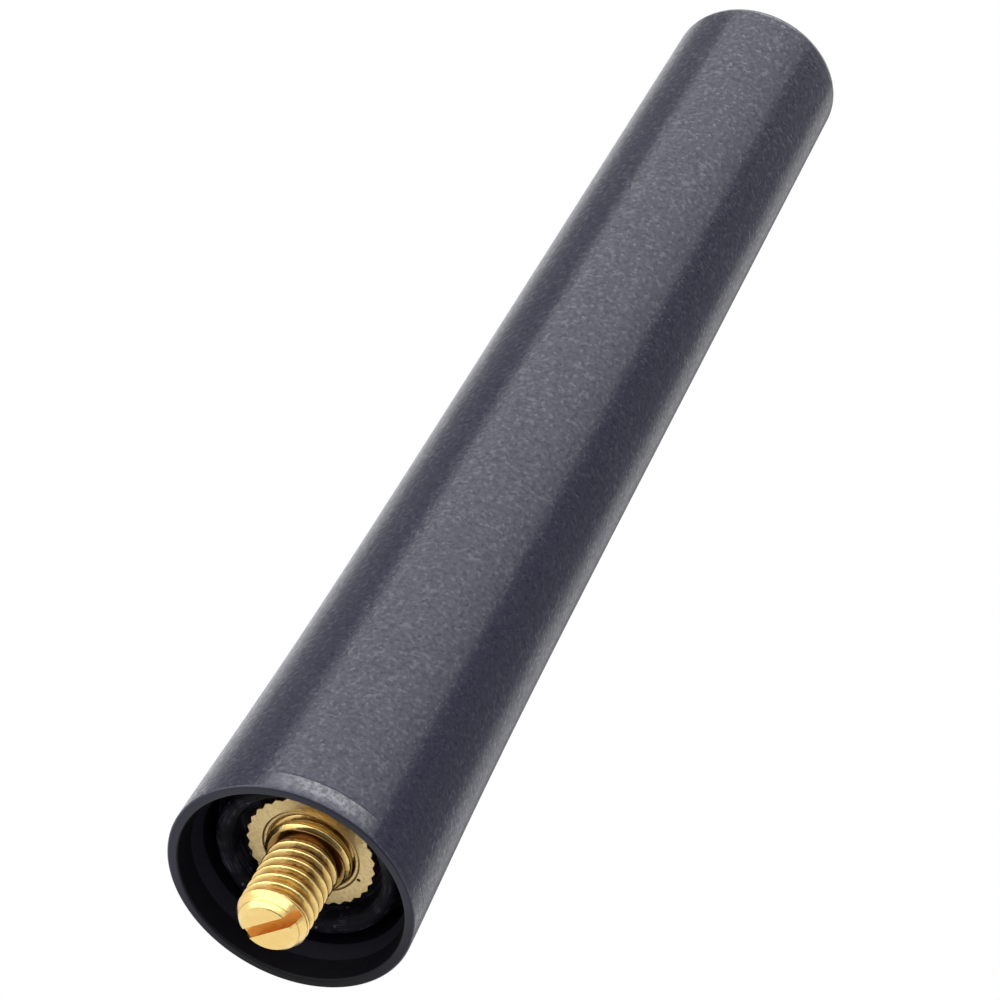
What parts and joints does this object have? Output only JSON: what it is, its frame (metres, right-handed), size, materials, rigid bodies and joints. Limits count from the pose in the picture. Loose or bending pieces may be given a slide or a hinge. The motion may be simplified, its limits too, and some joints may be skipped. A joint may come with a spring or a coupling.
{
  "type": "car mast aerial",
  "caption": "Short screw-on car roof aerial: tapered hollow sleeve with a flared mouth, a toothed brass insert inside and a stepped, slotted threaded stud.",
  "frame": {"origin": "centre of the sleeve's mouth, on the stud's axis", "axes": "+Z along the axis from the mouth to the closed tip; the stud points to -Z"},
  "size_m": [0.0172, 0.0172, 0.0979],
  "materials": {
    "sleeve_plastic": "finely grained, matt",
    "plug_plastic": "moulded, satin",
    "insert_brass": "turned",
    "stud_brass": "bright turned",
    "rod_plastic": "natural, satin",
    "copper": "enamelled",
    "solder": "dull bright",
    "tube_plastic": "shrunk, satin"
  },
  "bodies": {
    "root": {"sleeve": "sleeve_plastic", "base_plug": "plug_plastic", "threaded_insert": "insert_brass", "adapter_stud": "stud_brass", "wound_rod": "rod_plastic", "coil_wire": "copper", "solder_joint": "solder", "shrink_tube": "tube_plastic"}
  },
  "joints": []
}
